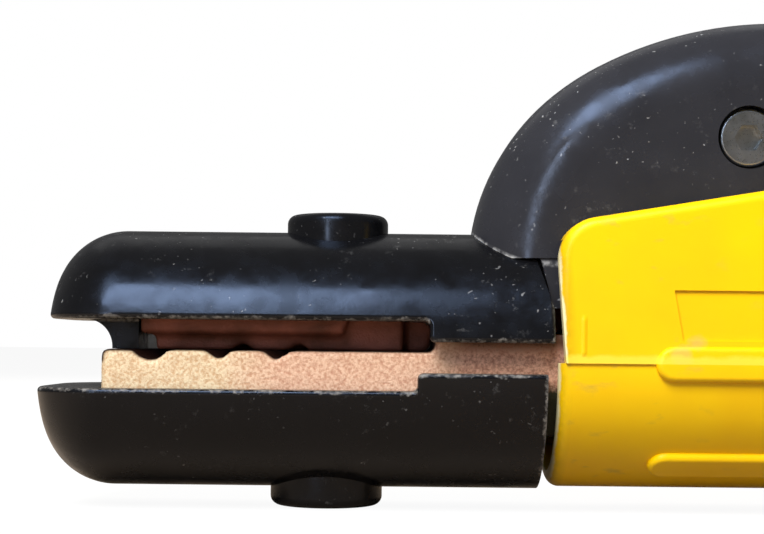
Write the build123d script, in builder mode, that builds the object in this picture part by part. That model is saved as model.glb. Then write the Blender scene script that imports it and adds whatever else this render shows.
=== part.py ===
from build123d import *
import os
from math import cos, radians, sin, sqrt

# Jaw-type electrode holder for manual arc welding, in millimetres.
# X runs along the holder, from the jaws at -X to the cable at +X. Z is up.
# The origin is the mouth of the cable socket, on the socket's axis.

# Head: two half-round covers on one cylinder around the X axis
head_r = 21.0
nose_r = 11.5
cavity_r = 17.2
upper_tip_x, lower_tip_x = -173.2, -175.0
upper_lip_z, lower_lip_z = 6.2, -4.6  # the covers' rims beside the jaws
upper_neck_z, lower_neck_z = 3.0, -1.8  # and beside the neck
upper_step_x, lower_step_x = -112.3, -114.1
upper_rear_x, lower_rear_x = -92.9, -94.0
upper_rear_lean, lean_from_z = 3.1, 8.0  # the rear face leans forwards so that the cover can tip up
rim_edge_r = 0.7

# Jaws
jaw_front_x, jaw_r, jaw_half_width = -163.8, 17.0, 16.2
jaw_top_z = 1.5
neck_step_x, neck_top_z, neck_bottom_z = -111.4, 4.4, -11.8
neck_rear_x, bed_rear_x, bed_top_z = -88.0, -68.0, -0.5
groove_x = (-156.3, -145.5, -136.5)
groove_half_width, groove_depth, groove_angle = 2.3, 1.6, 30.0  # they run aslant, for a tilted rod
round_groove_r, round_groove_rise, groove_length = 2.7, 1.1, 40.0
upper_groove_half_width, upper_groove_depth = 1.6, 1.2
upper_jaw_x = (-158.1, -124.9)
upper_jaw_half_width, upper_jaw_ledge_z = 12.5, 3.95
bite_x, bite_half_width, bite_gap = (-155.8, -116.2), 10.6, 0.03  # the narrower face that bites
heel_gap = 0.3
web_half_width, web_scoop_r = 12.0, 4.3

# Pivot of the lever, its axis along Y
pivot_x, pivot_z = -77.0, 8.0
pin_r, bush_r, hub_r = 4.0, 5.2, 7.6
bush_play = 0.05
hub_half_width, ear_inner_y, ear_outer_y = 8.3, 9.0, 13.5
arm_half_width, arm_bottom_z = 8.0, 4.7

# Insulated cover screws
upper_screw_x, upper_head_r, upper_head_top = -127.2, 8.35, 23.9
lower_screw_x, lower_head_r, lower_head_bottom = -128.7, 9.25, -24.05
upper_seat_z, lower_seat_z = 19.0, -18.8
stud_r, head_boss_depth = 3.0, 1.5
head_socket_r, head_socket_depth = 3.5, 2.2

# Lever guard: a thick hump, its outline a chain of tangent arcs (radius, degrees turned)
guard_start = (-105.3, 15.8)
guard_arcs = ((36.1, 51.0), (44.3, 11.0), (63.1, 45.0), (24.0, 96.0))
guard_half_width, guard_edge_r, guard_wall = 14.4, 11.4, 3.0
guard_foot_z, guard_tail_z = 16.5, 27.0
guard_screw_x, guard_screw_z = -62.0, 35.9
guard_screw_r, guard_screw_head_r, guard_screw_hole_r, guard_screw_sink = 2.45, 4.6, 2.7, 3.2
skirt_y, skirt_rear_x = (8.6, 14.2), -86.6

# Spring and its seats, behind the pivot
spring_x, spring_r, wire_r, spring_turns = -52.0, 6.0, 0.9, 5
pilot_r, pilot_height = 4.2, 3.0
stop_pad_x, stop_pad_height = -39.8, 11.4
shank_top_z, arm_foot_z, seat_t, seat_r = -3.0, 17.8, 1.2, 8.2
shank_end_x = -36.2

# Cable socket
socket_r, bore_r, bore_length = 12.0, 7.6, 30.0
set_screw_x, set_screw_r = (-8.5, -21.5), 4.0
plate_x, plate_half_width, plate_t = (-27.0, -3.0), 4.0, 1.0
collar_x, collar_r = (-33.0, -30.0), 14.0

# Handle shells
shell_wall = 2.6
upper_front_x, lower_front_x, handle_rear_x = -92.5, -92.3, 62.0
upper_front_lean = 1.2  # the upper shell's front face leans back towards the seam
seam_step = 0.4  # the lower shell is this much slimmer at the seam
slot_half_width, slot_end_x = 15.4, -14.0
front_corner_r = 6.5
# Cheeks: their top edge climbs, turns over and slopes down to the seam
cheek_top = ((upper_front_x, 21.7), (-54.0, 28.1))
cheek_turn_r, cheek_turn = 26.0, -45.0
cheek_edge_r = 1.6
cheek_proud = 0.1  # the cheeks stand this far outside the round grip
rib_width, rib_height, rib_span = 5.5, 1.1, (-77.5, 48.0)
rib_angles = (50.5, 129.5)
front_screw_at, rear_screw_at = (-52.0, 15.5), (44.0, 13.6)
shell_screw_r, shell_screw_head_r, shell_screw_seat_z = 1.9, 2.9, -7.2
boss_r, boss_top_z, insert_r = 3.1, 8.5, 2.7
waist_r, grip_rear_r = 18.8, 20.4
sleeve_x, sleeve_bore_r = (51.0, 66.0), 9.6


def side_outline(*points, rounded=(), r=1.0):
    """Adds a closed outline to the sketch, with some of its corners rounded."""
    Polygon(*points, align=None)
    for corner in rounded:
        fillet(vertices().sort_by_distance(Vector(*corner))[0], r)


def cover_blank(tip_x, rear_x):
    """A round-nosed cylinder along X, the stock of both covers."""
    with BuildPart() as blank:
        with BuildSketch(Plane.XZ):
            with Locations(((tip_x + rear_x) / 2, head_r / 2)):
                Rectangle(rear_x - tip_x, head_r)
            fillet(vertices().group_by(Axis.Y)[-1].sort_by(Axis.X)[0], nose_r)
        revolve(axis=Axis.X)
    return blank.part


def groove_plane(x):
    """A plane square to a groove, on the jaw's near flank, with its X axis level."""
    slant = radians(groove_angle)
    return Plane(
        origin=(x, -jaw_half_width, jaw_top_z), x_dir=(cos(slant), -sin(slant), 0),
        z_dir=(-sin(slant), -cos(slant), 0),
    )


# ---------------------------------------------------------------- lower jaw and its cover

with BuildPart() as jaw_body:
    # Round stock under the jaw's flat top, with flat flanks
    with BuildSketch(Plane.YZ.offset(jaw_front_x)):
        Circle(jaw_r)
        Rectangle(2 * jaw_half_width, 2 * jaw_r, mode=Mode.INTERSECT)
    extrude(amount=neck_rear_x - jaw_front_x)
    with BuildSketch(Plane.XZ):
        side_outline(
            (jaw_front_x, jaw_top_z), (neck_step_x, jaw_top_z), (neck_step_x, neck_top_z),
            (neck_rear_x, neck_top_z), (neck_rear_x, neck_bottom_z), (lower_step_x - 4, neck_bottom_z),
            (lower_step_x - 9, -jaw_r), (jaw_front_x, -jaw_r),
            rounded=((neck_step_x, jaw_top_z), (neck_step_x, neck_top_z)), r=0.8,
        )
    extrude(amount=jaw_r, both=True, mode=Mode.INTERSECT)
    fillet(edges().filter_by(Axis.Z).group_by(Axis.X)[0], 1.3)
    # Grooves across the jaw for the electrode: one round, two V-shaped
    across = cos(radians(groove_angle))
    with BuildSketch(groove_plane(groove_x[0])):
        with Locations((0, round_groove_rise)):
            Circle(round_groove_r)
    extrude(amount=groove_length, both=True, mode=Mode.SUBTRACT)
    for x in groove_x[1:]:
        with BuildSketch(groove_plane(x)):
            Polygon(
                (-groove_half_width * across, 0), (0, -groove_depth), (groove_half_width * across, 0),
                align=None,
            )
        extrude(amount=groove_length, both=True, mode=Mode.SUBTRACT)
    slanting = edges().filter_by(lambda e: abs((e % 0.5).Y) > 0.5 and abs((e % 0.5).X) > 0.3)
    fillet(slanting.filter_by_position(Axis.Z, jaw_top_z - 0.05, jaw_top_z + 0.05), 0.9)
    # Bed behind the neck, the shank, and the cable socket with its collar
    with BuildSketch(Plane.XZ):
        side_outline(
            (neck_rear_x - 1, neck_bottom_z), (bed_rear_x, neck_bottom_z), (bed_rear_x, bed_top_z),
            (neck_rear_x - 1, bed_top_z),
        )
    extrude(amount=ear_outer_y, both=True)
    with BuildSketch(Plane.XZ):
        side_outline(
            (bed_rear_x - 1, neck_bottom_z), (shank_end_x, neck_bottom_z), (shank_end_x, shank_top_z),
            (bed_rear_x - 1, shank_top_z),
        )
    extrude(amount=arm_half_width, both=True)
    with BuildSketch(Plane.YZ.offset(shank_end_x - 0.4)):
        Circle(socket_r)
    extrude(amount=0.4 - shank_end_x)
    with BuildSketch(Plane.YZ.offset(collar_x[0])):
        Circle(collar_r)
    extrude(amount=collar_x[1] - collar_x[0])
    with BuildSketch(Plane.XY.offset(-14.0)):
        with Locations((sum(set_screw_x) / 2, 0)):
            SlotOverall(23.8, 12.0)
    extrude(amount=10.0)
    # Two ears carry the pivot pin
    with BuildSketch(Plane.XZ):
        with Locations((pivot_x, pivot_z)):
            Circle(hub_r)
        side_outline(
            (pivot_x - hub_r, pivot_z), (pivot_x + hub_r, pivot_z),
            (pivot_x + hub_r + 1.2, -1.0), (pivot_x - hub_r - 3.5, -1.0),
        )
    extrude(amount=ear_outer_y, both=True)
    with BuildSketch(Plane.XZ):
        with Locations((pivot_x, (pivot_z + hub_r - 0.5) / 2 + 0.1)):
            Rectangle(28.0, pivot_z + hub_r + 0.6)
    extrude(amount=ear_inner_y, both=True, mode=Mode.SUBTRACT)
    with BuildSketch(Plane.XZ):
        with Locations((pivot_x, pivot_z)):
            Circle(pin_r)
    extrude(amount=ear_outer_y + 1, both=True, mode=Mode.SUBTRACT)
    # Cable bore, the recess of its pressure plate, and the set screws' holes
    with BuildSketch(Plane.YZ):
        Circle(bore_r)
    extrude(amount=-bore_length, mode=Mode.SUBTRACT)
    with BuildSketch(Plane.XY.offset(-bore_r - plate_t)):
        with Locations((sum(plate_x) / 2, 0)):
            Rectangle(plate_x[1] - plate_x[0] + 0.3, 2 * plate_half_width + 0.3)
    extrude(amount=bore_r, mode=Mode.SUBTRACT)
    with BuildSketch(Plane.XY.offset(-15.0)):
        with Locations(*[(x, 0) for x in set_screw_x]):
            Circle(set_screw_r + 0.05)
    extrude(amount=9.0, mode=Mode.SUBTRACT)
    # Threaded hole for the lower cover's screw
    with BuildSketch(Plane.XY.offset(-jaw_r - 1)):
        with Locations((lower_screw_x, 0)):
            Circle(stud_r)
    extrude(amount=12.0, mode=Mode.SUBTRACT)

with BuildPart() as lower_jaw_cover:
    add(cover_blank(lower_tip_x, lower_rear_x))
    with BuildSketch(Plane.XZ):
        side_outline(
            (lower_tip_x - 1, lower_lip_z), (lower_step_x, lower_lip_z), (lower_step_x, lower_neck_z),
            (lower_rear_x, lower_neck_z), (lower_rear_x, -head_r - 1), (lower_tip_x - 1, -head_r - 1),
            rounded=((lower_step_x, lower_lip_z), (lower_step_x, lower_neck_z)), r=0.9,
        )
    extrude(amount=head_r + 1, both=True, mode=Mode.INTERSECT)
    outer = edges().filter_by(lambda e: e.length > 5 and abs(e.center().Y) > cavity_r)
    fillet(outer.filter_by_position(Axis.Z, lower_lip_z - 0.1, lower_neck_z + 0.1), rim_edge_r)
    with BuildSketch(Plane.YZ.offset(jaw_front_x - 0.4)):
        Circle(cavity_r)
    extrude(amount=lower_rear_x + 1 - jaw_front_x, mode=Mode.SUBTRACT)
    with BuildSketch(Plane.XY.offset(lower_seat_z)):
        with Locations((lower_screw_x, 0)):
            Circle(lower_head_r + 0.1)
    extrude(amount=-5.0, mode=Mode.SUBTRACT)
    with BuildSketch(Plane.XY.offset(-head_r)):
        with Locations((lower_screw_x, 0)):
            Circle(stud_r + 0.3)
    extrude(amount=8.0, mode=Mode.SUBTRACT)

# ---------------------------------------------------------------- upper jaw and its cover

with BuildPart() as upper_jaw_cover:
    add(cover_blank(upper_tip_x, upper_rear_x))
    with BuildSketch(Plane.XZ):
        side_outline(
            (upper_tip_x - 1, upper_lip_z), (upper_step_x, upper_lip_z), (upper_step_x, upper_neck_z),
            (upper_rear_x, upper_neck_z), (upper_rear_x, lean_from_z),
            (upper_rear_x - upper_rear_lean, head_r - 2.5),
            (upper_rear_x - upper_rear_lean - 2.5, head_r + 1), (upper_tip_x - 1, head_r + 1),
            rounded=((upper_step_x, upper_lip_z), (upper_step_x, upper_neck_z)), r=0.9,
        )
    extrude(amount=head_r + 1, both=True, mode=Mode.INTERSECT)
    outer = edges().filter_by(lambda e: e.length > 5 and abs(e.center().Y) > cavity_r)
    fillet(outer.filter_by_position(Axis.Z, upper_neck_z - 0.1, upper_lip_z + 0.1), rim_edge_r)
    # Web in front of the upper jaw, scooped at its front
    with BuildSketch(Plane.XZ):
        with BuildLine():
            scoop_x = upper_jaw_x[0] - 8.8
            scoop = CenterArc((scoop_x, upper_lip_z - web_scoop_r), web_scoop_r, 90, -90)
            foot, under_ledge = jaw_top_z + bite_gap, upper_jaw_ledge_z - 0.2
            Polyline(
                scoop @ 1, (scoop_x + web_scoop_r, foot), (bite_x[0] - 0.2, foot),
                (bite_x[0] - 0.2, under_ledge), (upper_jaw_x[0] - 0.3, under_ledge),
                (upper_jaw_x[0] - 0.3, upper_lip_z + 2), (scoop_x, upper_lip_z + 2), scoop @ 0,
            )
        make_face()
    extrude(amount=web_half_width, both=True)
    # Room for the jaw in front, and for its narrower arm behind
    with BuildSketch(Plane.YZ.offset(upper_jaw_x[0] - 0.3)):
        Circle(cavity_r)
    extrude(amount=upper_step_x - 2.5 - upper_jaw_x[0], mode=Mode.SUBTRACT)
    with BuildSketch(Plane.YZ.offset(upper_step_x - 4)):
        with Locations((0, 6.5)):
            Rectangle(2 * arm_half_width + 0.6, 13.4)
    extrude(amount=upper_rear_x - upper_step_x + 8, mode=Mode.SUBTRACT)
    # Pocket over the neck of the lower jaw
    with BuildSketch(Plane.XZ):
        side_outline(
            (neck_step_x - 1, 0), (upper_rear_x + 1, 0), (upper_rear_x + 1, neck_top_z + 0.8),
            (neck_step_x - 1, neck_top_z + 0.8),
        )
    extrude(amount=jaw_half_width + 0.6, both=True, mode=Mode.SUBTRACT)
    with BuildSketch(Plane.XY.offset(upper_seat_z)):
        with Locations((upper_screw_x, 0)):
            Circle(upper_head_r + 0.1)
    extrude(amount=5.0, mode=Mode.SUBTRACT)
    with BuildSketch(Plane.XY.offset(head_r)):
        with Locations((upper_screw_x, 0)):
            Circle(stud_r + 0.3)
    extrude(amount=-8.0, mode=Mode.SUBTRACT)

with BuildPart() as upper_jaw:
    with BuildSketch(Plane.YZ.offset(upper_jaw_x[0])):
        Circle(jaw_r)
        Rectangle(2 * upper_jaw_half_width, 2 * jaw_r, mode=Mode.INTERSECT)
    extrude(amount=upper_jaw_x[1] - upper_jaw_x[0])
    with BuildSketch(Plane.XZ):
        side_outline(
            (upper_jaw_x[0], upper_jaw_ledge_z), (upper_jaw_x[1] - 1, upper_jaw_ledge_z),
            (upper_jaw_x[1], upper_lip_z + 1), (upper_jaw_x[1], jaw_r), (upper_jaw_x[0], jaw_r),
        )
    extrude(amount=jaw_r, both=True, mode=Mode.INTERSECT)
    chamfer(edges().filter_by(Axis.X).group_by(Axis.Z)[0], 0.5)
    # The narrower face that bites, with grooves facing those of the lower jaw
    with BuildSketch(Plane.XZ):
        side_outline(
            (bite_x[0], jaw_top_z + bite_gap), (bite_x[1], jaw_top_z + bite_gap),
            (bite_x[1], upper_lip_z + 2), (bite_x[0], upper_lip_z + 2),
        )
    extrude(amount=bite_half_width, both=True)
    with BuildSketch(Plane.XZ):
        side_outline(
            (bite_x[1] - 1, jaw_top_z + bite_gap), (neck_step_x - 1.2, jaw_top_z + bite_gap),
            (neck_step_x - heel_gap, jaw_top_z + 1), (neck_step_x - heel_gap, upper_lip_z),
            (bite_x[1] - 1, upper_lip_z),
        )
    extrude(amount=arm_half_width, both=True)
    for x in groove_x[1:]:
        with BuildSketch(groove_plane(x)):
            Polygon(
                (-upper_groove_half_width, 0), (0, upper_groove_depth), (upper_groove_half_width, 0),
                align=None,
            )
        extrude(amount=groove_length, both=True, mode=Mode.SUBTRACT)
    # Arm to the hub
    with BuildSketch(Plane.XZ):
        side_outline((-127.0, arm_bottom_z), (pivot_x, arm_bottom_z), (pivot_x, 12.6), (-127.0, 12.6))
    extrude(amount=arm_half_width, both=True)
    with BuildSketch(Plane.XZ):
        with Locations((pivot_x, pivot_z)):
            Circle(hub_r)
    extrude(amount=hub_half_width, both=True)
    # Web that rises inside the guard, with the foot that the spring pushes up
    with BuildSketch(Plane.XZ):
        side_outline(
            (-83.0, 11.0), (-72.0, 40.0), (-58.0, 43.0), (-44.0, 24.0),
            (-44.0, arm_foot_z), (-62.0, arm_foot_z), (-71.0, 7.0),
            rounded=((-72.0, 40.0), (-58.0, 43.0)), r=4.0,
        )
    extrude(amount=5.0, both=True)
    with BuildSketch(Plane.XY.offset(arm_foot_z)):
        with Locations((spring_x, 0)):
            Circle(seat_r)
    extrude(amount=2.8)
    with BuildSketch(Plane.XZ):
        with Locations((pivot_x, pivot_z)):
            Circle(bush_r)
        with Locations((guard_screw_x, guard_screw_z)):
            Circle(guard_screw_hole_r)
    extrude(amount=jaw_r, both=True, mode=Mode.SUBTRACT)
    with BuildSketch(Plane.XY.offset(head_r)):
        with Locations((upper_screw_x, 0)):
            Circle(stud_r)
    extrude(amount=-12.0, mode=Mode.SUBTRACT)

# ---------------------------------------------------------------- cover screws


def cover_screw_head(x, r, seat_z, end_z):
    """A moulded round head with a rounded rim and a hexagonal recess in its end."""
    up = 1 if end_z > 0 else -1
    with BuildPart() as head:
        with BuildSketch(Plane.XY.offset(seat_z)):
            with Locations((x, 0)):
                Circle(r)
        extrude(amount=end_z - seat_z)
        rim = edges().filter_by(GeomType.CIRCLE).filter_by_position(Axis.Z, end_z - 0.1, end_z + 0.1)
        fillet(rim, 1.5)
        with BuildSketch(Plane.XY.offset(end_z)):
            with Locations((x, 0)):
                RegularPolygon(head_socket_r, 6)
        extrude(amount=-head_socket_depth * up, mode=Mode.SUBTRACT)
        with BuildSketch(Plane.XY.offset(seat_z)):
            with Locations((x, 0)):
                Circle(stud_r)
        extrude(amount=head_boss_depth * up, mode=Mode.SUBTRACT)
    return head


def cover_screw_stud(x, seat_z, inner_z):
    """The steel stud that the head is moulded on."""
    up = 1 if seat_z > 0 else -1
    with BuildPart() as stud:
        with BuildSketch(Plane.XY.offset(inner_z)):
            with Locations((x, 0)):
                Circle(stud_r)
        extrude(amount=seat_z + head_boss_depth * up - inner_z)
    return stud


upper_cover_screw_head = cover_screw_head(upper_screw_x, upper_head_r, upper_seat_z, upper_head_top)
lower_cover_screw_head = cover_screw_head(lower_screw_x, lower_head_r, lower_seat_z, lower_head_bottom)
upper_cover_screw_stud = cover_screw_stud(upper_screw_x, upper_seat_z, head_r - 12.0)
lower_cover_screw_stud = cover_screw_stud(lower_screw_x, lower_seat_z, -jaw_r + 11.0)

# ---------------------------------------------------------------- lever guard


def guard_blank(inset):
    """The hump, or with an inset the hollow inside it."""
    with BuildPart() as blank:
        with BuildSketch(Plane.XZ):
            with BuildLine():
                at, along = Vector(guard_start[0] + inset, guard_start[1]), Vector(0, 1)
                for r, turn in guard_arcs:
                    arc = JernArc(at, along, r - inset, -turn)
                    at, along = arc @ 1, arc % 1
                front_x, heel = guard_start[0] + inset, at + along * 26
                Polyline(at, heel, (front_x, heel.Y), (front_x, guard_start[1]))
            make_face()
        extrude(amount=guard_half_width - inset, both=True)
        rim = edges().filter_by(lambda e: abs(e.center().Y) > guard_half_width - inset - 0.1)
        fillet(rim.filter_by(lambda e: e.center().Z > heel.Y + 1), guard_edge_r - inset)
    return blank.part


with BuildPart() as lever_guard:
    add(guard_blank(0.0))
    add(guard_blank(guard_wall), mode=Mode.SUBTRACT)
    # Bosses for the guard's screw, either side of the lever's web
    with BuildSketch(Plane.XZ):
        with Locations((guard_screw_x, guard_screw_z)):
            Circle(7.0)
    extrude(amount=guard_half_width - 1, both=True)
    with BuildSketch(Plane.XZ):
        side_outline((-80.0, 20.0), (-40.0, 20.0), (-40.0, 50.0), (-80.0, 50.0))
    extrude(amount=5.1, both=True, mode=Mode.SUBTRACT)
    with BuildSketch(Plane.XZ):
        with Locations((guard_screw_x, guard_screw_z)):
            Circle(guard_screw_hole_r)
    extrude(amount=guard_half_width, both=True, mode=Mode.SUBTRACT)
    with BuildSketch(Plane.XZ.offset(guard_half_width - guard_screw_sink)):
        with Locations((guard_screw_x, guard_screw_z)):
            Circle(5.0)
    extrude(amount=5.0, mode=Mode.SUBTRACT)
    with BuildSketch(Plane.XZ.offset(guard_screw_sink - guard_half_width)):
        with Locations((guard_screw_x, guard_screw_z)):
            RegularPolygon(4.9, 6)
    extrude(amount=-5.0, mode=Mode.SUBTRACT)
    # The underside rises towards the tail, and the foot sits on the cover like a saddle
    with BuildSketch(Plane.XZ):
        side_outline(
            (-110.0, guard_foot_z), (-70.0, guard_foot_z), (-14.0, guard_tail_z + 1.2),
            (-14.0, -head_r), (-110.0, -head_r),
        )
    extrude(amount=head_r, both=True, mode=Mode.SUBTRACT)
    with BuildSketch(Plane.YZ.offset(-110.0)):
        Circle(head_r + 0.05)
    extrude(amount=upper_rear_x + 110.0, mode=Mode.SUBTRACT)
    # Two skirts close the gap behind the cover, either side of the arm
    skirt_front_x, leaning_x = upper_rear_x + 0.3, upper_rear_x - upper_rear_lean * 0.75 + 0.3
    for side in (1, -1):
        with BuildSketch(Plane.XZ.offset(side * skirt_y[0])):
            side_outline(
                (skirt_front_x, lean_from_z + 0.6), (leaning_x, guard_foot_z + 0.6),
                (leaning_x, guard_foot_z + 2), (skirt_rear_x, guard_foot_z + 2),
                (skirt_rear_x, lean_from_z + 0.6),
            )
        extrude(amount=side * (skirt_y[1] - skirt_y[0]))

with BuildPart() as guard_screw:
    with BuildSketch(Plane.XZ.offset(guard_half_width - guard_screw_sink)):
        with Locations((guard_screw_x, guard_screw_z)):
            Circle(guard_screw_head_r)
    extrude(amount=2.5)
    fillet(edges().filter_by(GeomType.CIRCLE).sort_by(Axis.Y)[0], 0.5)
    with BuildSketch(Plane.XZ.offset(guard_half_width - 0.7)):
        with Locations((guard_screw_x, guard_screw_z)):
            RegularPolygon(2.3, 6)
    extrude(amount=-1.8, mode=Mode.SUBTRACT)
    with BuildSketch(Plane.XZ.offset(guard_half_width - guard_screw_sink)):
        with Locations((guard_screw_x, guard_screw_z)):
            Circle(guard_screw_r)
    extrude(amount=-2 * guard_half_width + 4.4)

with BuildPart() as guard_nut:
    with BuildSketch(Plane.XZ.offset(0.6 - guard_half_width)):
        with Locations((guard_screw_x, guard_screw_z)):
            RegularPolygon(guard_screw_head_r, 6)
            Circle(guard_screw_r + 0.01, mode=Mode.SUBTRACT)
    extrude(amount=2.6)

# ---------------------------------------------------------------- pivot


def ring(inner_r, outer_r, from_y, to_y):
    """A ring around the pivot axis, between two distances to one side of the middle."""
    with BuildPart() as band:
        with BuildSketch(Plane.XZ.offset(-from_y)):
            with Locations((pivot_x, pivot_z)):
                Circle(outer_r)
                Circle(inner_r, mode=Mode.SUBTRACT)
        extrude(amount=from_y - to_y)
    return band.part


with BuildPart() as pivot_pin:
    with BuildSketch(Plane.XZ):
        with Locations((pivot_x, pivot_z)):
            Circle(pin_r)
    extrude(amount=ear_outer_y + 2.0, both=True)
    chamfer(edges().filter_by(GeomType.CIRCLE), 0.5)

with BuildPart() as pivot_bush:
    add(ring(pin_r + bush_play, bush_r, -hub_half_width, hub_half_width))

with BuildPart() as pivot_washers:
    for side in (1, -1):
        inner_y, outer_y = hub_half_width + 0.12, ear_inner_y - 0.05
        add(ring(pin_r + bush_play, hub_r - 0.4, side * inner_y, side * outer_y))

with BuildPart() as pivot_retaining_rings:
    for side in (1, -1):
        add(ring(pin_r, hub_r - 1.2, side * (ear_outer_y + 0.1), side * (ear_outer_y + 1.0)))

# ---------------------------------------------------------------- spring and stop

lower_seat_top = shank_top_z + seat_t
upper_seat_bottom = arm_foot_z - seat_t

with BuildPart() as lower_spring_seat:
    with BuildSketch(Plane.XY.offset(shank_top_z)):
        with Locations((spring_x, 0)):
            Circle(seat_r - 0.4)
    extrude(amount=seat_t)
    with BuildSketch(Plane.XY.offset(shank_top_z)):
        with Locations((spring_x, 0)):
            Circle(pilot_r)
    extrude(amount=seat_t + pilot_height)
    fillet(edges().sort_by(Axis.Z)[-1], 1.0)

with BuildPart() as upper_spring_seat:
    with BuildSketch(Plane.XY.offset(upper_seat_bottom)):
        with Locations((spring_x, 0)):
            Circle(seat_r - 0.4)
    extrude(amount=seat_t)
    with BuildSketch(Plane.XY.offset(upper_seat_bottom - 2.0)):
        with Locations((spring_x, 0)):
            Circle(pilot_r)
    extrude(amount=2.0 + seat_t)
    fillet(edges().sort_by(Axis.Z)[0], 1.0)

with BuildPart() as closing_spring:
    spring_foot = lower_seat_top + wire_r + 0.1
    spring_height = upper_seat_bottom - wire_r - 0.1 - spring_foot
    with BuildLine():
        coil = Helix(
            pitch=spring_height / spring_turns, height=spring_height, radius=spring_r,
            center=(spring_x, 0, spring_foot),
        )
    with BuildSketch(Plane(origin=coil @ 0, z_dir=coil % 0)):
        Circle(wire_r)
    sweep(is_frenet=True)

with BuildPart() as open_stop_pad:
    with BuildSketch(Plane.XY.offset(shank_top_z)):
        with Locations((stop_pad_x, 0)):
            RectangleRounded(5.0, 11.0, 1.5)
    extrude(amount=stop_pad_height)

# ---------------------------------------------------------------- cable clamp


def set_screw(x):
    """A grub screw that comes up through the socket's wall, with a hexagonal recess below."""
    with BuildPart() as screw:
        with BuildSketch(Plane.XY.offset(-15.6)):
            with Locations((x, 0)):
                Circle(set_screw_r)
        extrude(amount=15.6 - bore_r - plate_t)
        with BuildSketch(Plane.XY.offset(-15.6)):
            with Locations((x, 0)):
                RegularPolygon(2.3, 6)
        extrude(amount=3.5, mode=Mode.SUBTRACT)
    return screw


front_set_screw = set_screw(set_screw_x[1])
rear_set_screw = set_screw(set_screw_x[0])

with BuildPart() as cable_pressure_plate:
    with BuildSketch(Plane.XY.offset(-bore_r - plate_t)):
        with Locations((sum(plate_x) / 2, 0)):
            Rectangle(plate_x[1] - plate_x[0], 2 * plate_half_width)
    extrude(amount=4.0)
    with BuildSketch(Plane.YZ.offset(plate_x[0] - 1)):
        Circle(bore_r)
    extrude(amount=plate_x[1] - plate_x[0] + 2, mode=Mode.SUBTRACT)

# ---------------------------------------------------------------- handle shells


def grip_radius_line(grow, front_x, rear_x):
    """The lower shell's radius along X, drawn on the -Y side."""
    front = Line((front_x, -(head_r - seam_step + grow)), (-22.0, -(head_r - seam_step + grow)))
    waist = Spline(
        front @ 1, (14.0, -(waist_r + grow)), (34.0, -(waist_r + grow)), (54.0, -(grip_rear_r + grow)),
        tangents=((1, 0), (1, 0)),
    )
    Line(waist @ 1, (rear_x, -(grip_rear_r + grow)))
    return front @ 0, (rear_x, -(grip_rear_r + grow))


def upper_blank(inset, front_x, rear_x):
    """The upper shell's outside, or with an inset its hollow: upright cheeks in front of a round grip."""
    with BuildPart() as blank:
        with BuildSketch(Plane.XZ):
            with BuildLine():
                climb = Vector(*cheek_top[1]) - Vector(*cheek_top[0])
                along = (front_x - upper_front_x) / climb.X
                start = Vector(*cheek_top[0]) + climb * along - Vector(0, inset)
                crest = Line(start, Vector(*cheek_top[1]) - Vector(0, inset))
                turn = JernArc(crest @ 1, crest % 1, cheek_turn_r - inset, cheek_turn)
                slope = turn % 1
                end = turn @ 1 + slope * ((turn @ 1).Y / -slope.Y)
                Polyline(turn @ 1, end, (front_x, 0), start)
            make_face()
            if inset == 0:
                fillet(vertices().sort_by_distance(start)[0], front_corner_r)
        extrude(amount=head_r - inset, both=True)
        if inset == 0:
            rim = edges().filter_by(lambda e: abs(e.center().Y) > head_r - 0.1 and e.center().Z > 1)
            fillet(rim.filter_by(lambda e: e.center().X > front_x + 0.1), cheek_edge_r)
        with BuildSketch(Plane.XY):
            with BuildLine():
                front, rear = grip_radius_line(seam_step - cheek_proud - inset, -60.0, rear_x)
                Polyline(rear, (rear[0], 0), (front.X, 0), front)
            make_face()
            if inset == 0:
                fillet(vertices().filter_by(lambda v: v.Y < -18 and v.X > 0), 2.0)
        revolve(axis=Axis.X, revolution_arc=-180)
        if inset == 0:
            with BuildSketch(Plane.XZ):
                Polygon(
                    (front_x - 1, -1), (front_x + upper_front_lean, -1), (front_x + upper_front_lean, 0),
                    (front_x, cheek_top[0][1] - front_corner_r), (front_x - 1, cheek_top[0][1]), align=None,
                )
            extrude(amount=head_r + 1, both=True, mode=Mode.SUBTRACT)
    return blank.part


def grip_ribs(angles, lift):
    """Ribs along the grip, at angles from +Y towards the side that lift points to."""
    with BuildPart() as ribs:
        for angle in angles:
            outwards = (0, cos(radians(angle)), lift * sin(radians(angle)))
            with BuildSketch(Plane(origin=(0, 0, 0), x_dir=(1, 0, 0), z_dir=outwards)):
                with Locations((sum(rib_span) / 2, 0)):
                    SlotOverall(rib_span[1] - rib_span[0], rib_width)
            extrude(amount=head_r + 3)
        with BuildSketch(Plane.XY):
            with BuildLine():
                start, end = grip_radius_line(rib_height, rib_span[0] - 1, rib_span[1] + 8)
                inner_start, inner_end = grip_radius_line(-1.0, rib_span[0] - 1, rib_span[1] + 8)
                Line(start, inner_start)
                Line(end, inner_end)
            make_face()
        revolve(axis=Axis.X, mode=Mode.INTERSECT)
        tops = faces().filter_by(lambda f: sqrt(f.center().Y ** 2 + f.center().Z ** 2) > 19.4)
        fillet(tops.edges(), 0.9)
    return ribs.part


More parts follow.
